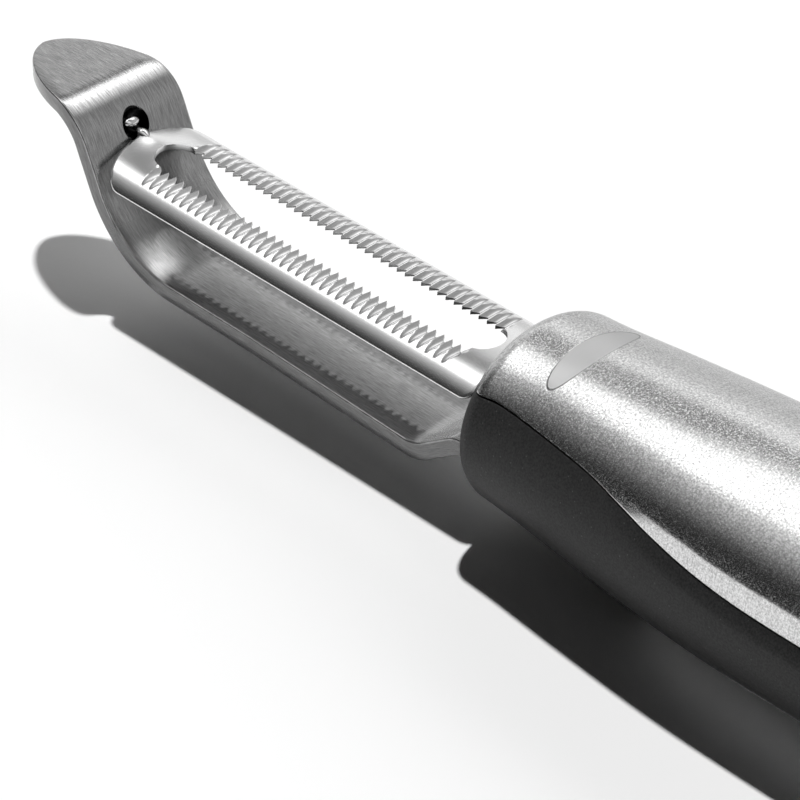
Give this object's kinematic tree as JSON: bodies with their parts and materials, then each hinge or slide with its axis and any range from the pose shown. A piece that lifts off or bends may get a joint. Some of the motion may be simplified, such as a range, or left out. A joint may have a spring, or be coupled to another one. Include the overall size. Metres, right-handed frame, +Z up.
{
  "type": "vegetable peeler",
  "caption": "Straight vegetable peeler with a serrated blade that swivels in a bent steel arm, and a thick oval handle of steel shells and soft grip.",
  "frame": {"origin": "bottom centre of the bounding box, on the surface that the peeler lies on", "axes": "+X along the handle from the blade's tip towards the butt, +Z up out of the blade's cutting face, +Y to the left"},
  "size_m": [0.2056, 0.0332, 0.0287],
  "materials": {
    "arm_steel": "brushed along the strip",
    "shell_steel": "fine bead blast with a brushed sheen",
    "blade_steel": "bright satin",
    "pin_steel": "turned, polished",
    "core_nylon": "moulded, dark",
    "bushing_plastic": "moulded, smooth",
    "grip_rubber": "matte, finely grained"
  },
  "bodies": {
    "handle": {"arm": "arm_steel", "handle_core": "core_nylon", "upper_shell": "shell_steel", "lower_shell": "shell_steel", "grip": "grip_rubber", "hang_eyelet": "pin_steel", "pivot_bushing": "bushing_plastic", "tang_pin_front": "pin_steel", "tang_pin_rear": "pin_steel"},
    "blade": {"blade": "blade_steel", "front_pivot_pin": "pin_steel", "rear_spindle": "pin_steel"}
  },
  "joints": [
    {"name": "blade_swivel", "type": "hinge", "parent": "handle", "child": "blade", "pos_m": [-0.05, 0, 0.0203], "axis": [1, 0, 0], "range_deg": [-35, 35]}
  ]
}
